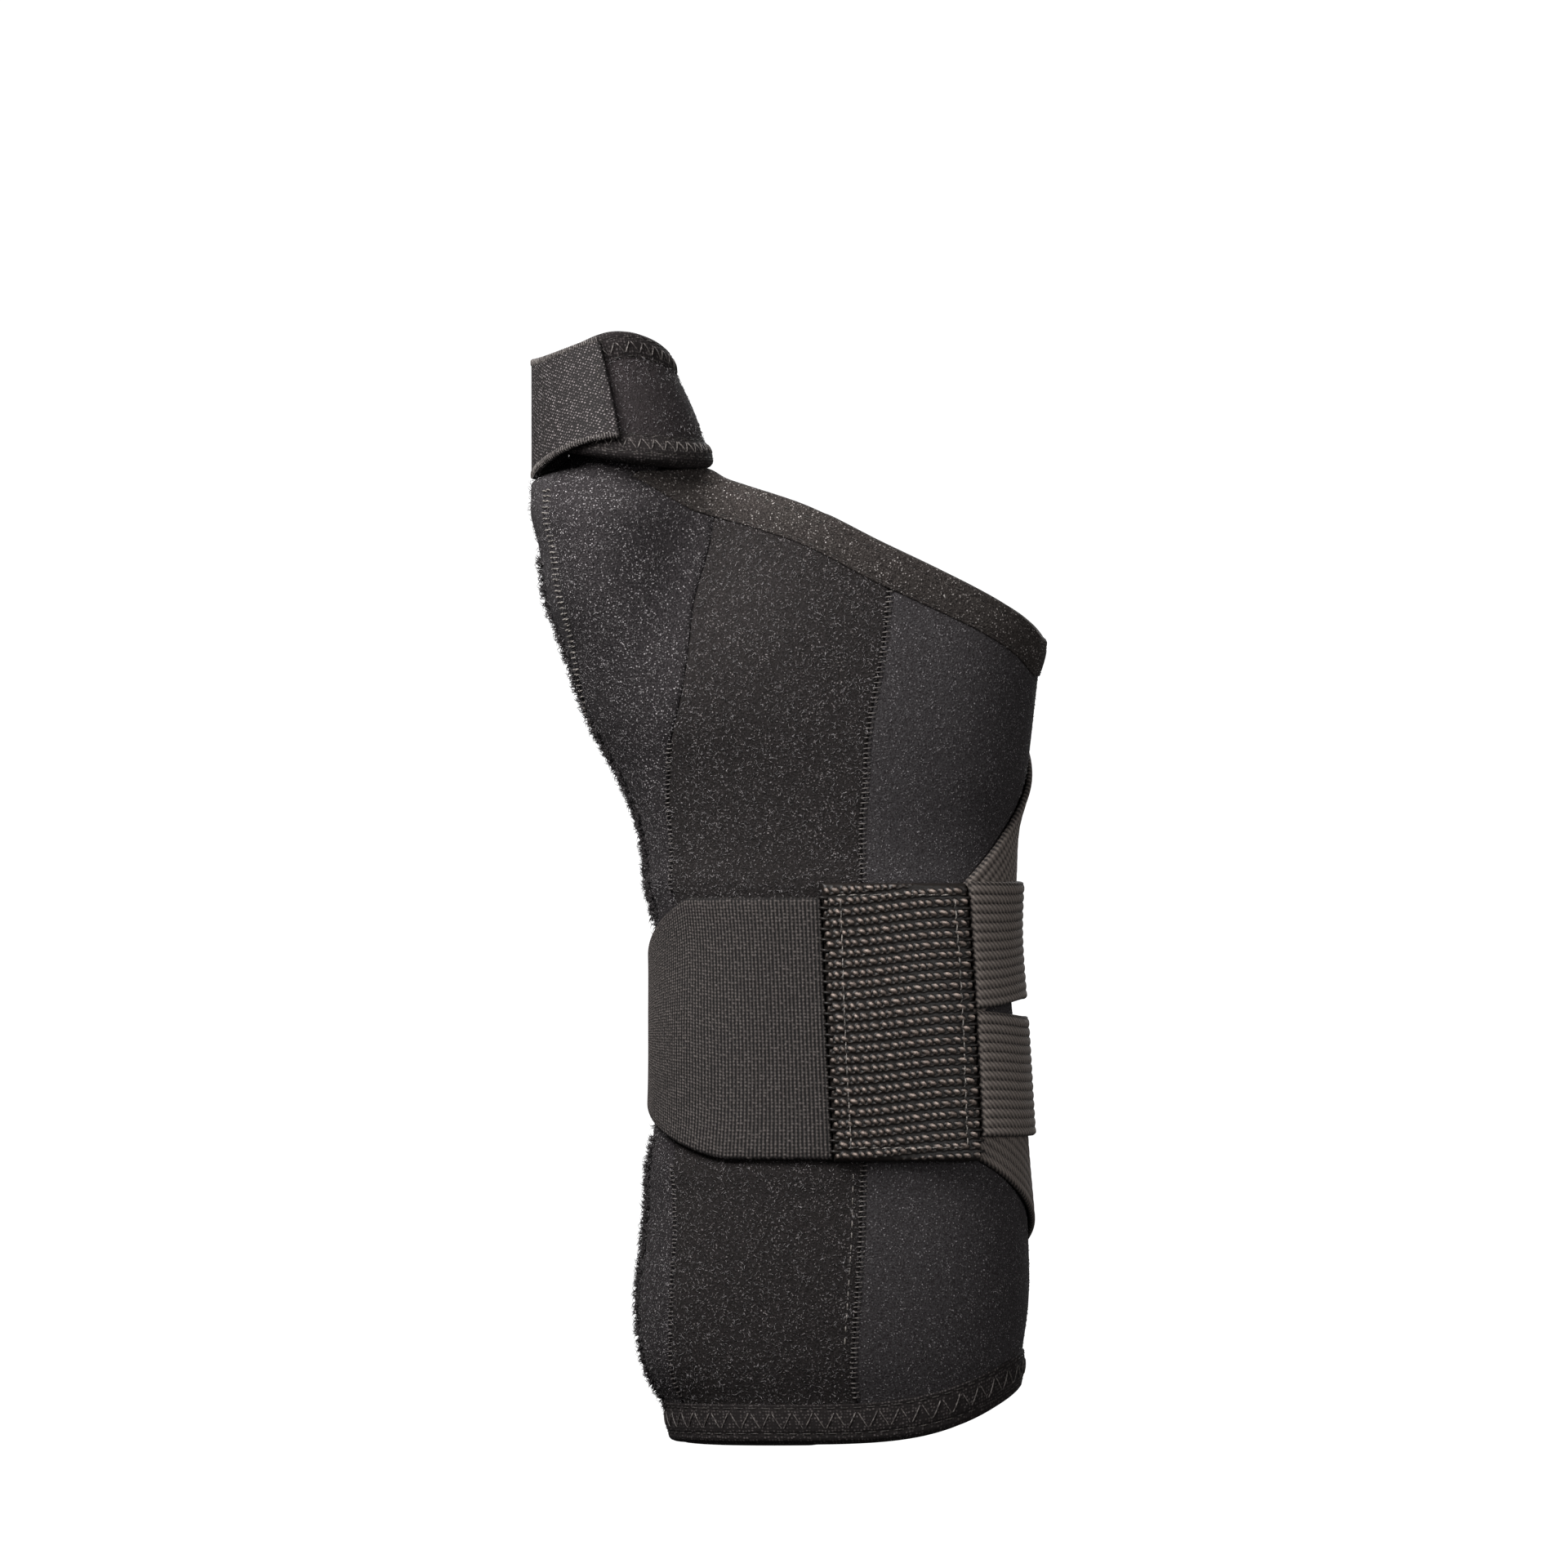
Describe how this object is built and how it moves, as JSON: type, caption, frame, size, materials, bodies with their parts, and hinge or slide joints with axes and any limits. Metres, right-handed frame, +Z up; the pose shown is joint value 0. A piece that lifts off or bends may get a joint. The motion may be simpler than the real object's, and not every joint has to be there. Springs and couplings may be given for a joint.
{
  "type": "thumb spica splint",
  "caption": "Soft wrist and thumb splint for the left hand, a hollow fabric shell open at forearm, palm and thumb, with hook tabs and elastic closure straps.",
  "frame": {"origin": "middle of the forearm opening, in the plane of its hem on the thumb side, where the forearm enters", "axes": "+Z up the arm to the fingers, +X to the little finger side, -Y the palm side"},
  "size_m": [0.0983, 0.06, 0.2112],
  "materials": {
    "loop_fabric": "brushed nylon loop on foam, matt black with pale fibre glints",
    "knit_binding": "knit elastic binding, matt brownish black",
    "hook_tape": "fine ribbed hook tape, dark grey",
    "webbing": "coarse basket woven webbing, slightly glossy black",
    "ribbed_elastic": "ribbed woven elastic, olive black"
  },
  "bodies": {
    "root": {"thumb_panel": "loop_fabric", "palm_panel": "loop_fabric", "ulnar_panel": "loop_fabric", "dorsal_panel": "loop_fabric", "radial_panel": "loop_fabric", "thumb_strap": "loop_fabric", "forearm_binding": "knit_binding", "palm_binding": "knit_binding", "thumb_top_binding": "knit_binding", "thumb_lower_binding": "knit_binding", "thumb_tab": "hook_tape", "closure_tab": "hook_tape", "webbing_patch": "webbing", "elastic_upper": "ribbed_elastic", "elastic_lower": "ribbed_elastic", "diagonal_upper": "ribbed_elastic", "diagonal_lower": "ribbed_elastic"}
  },
  "joints": []
}
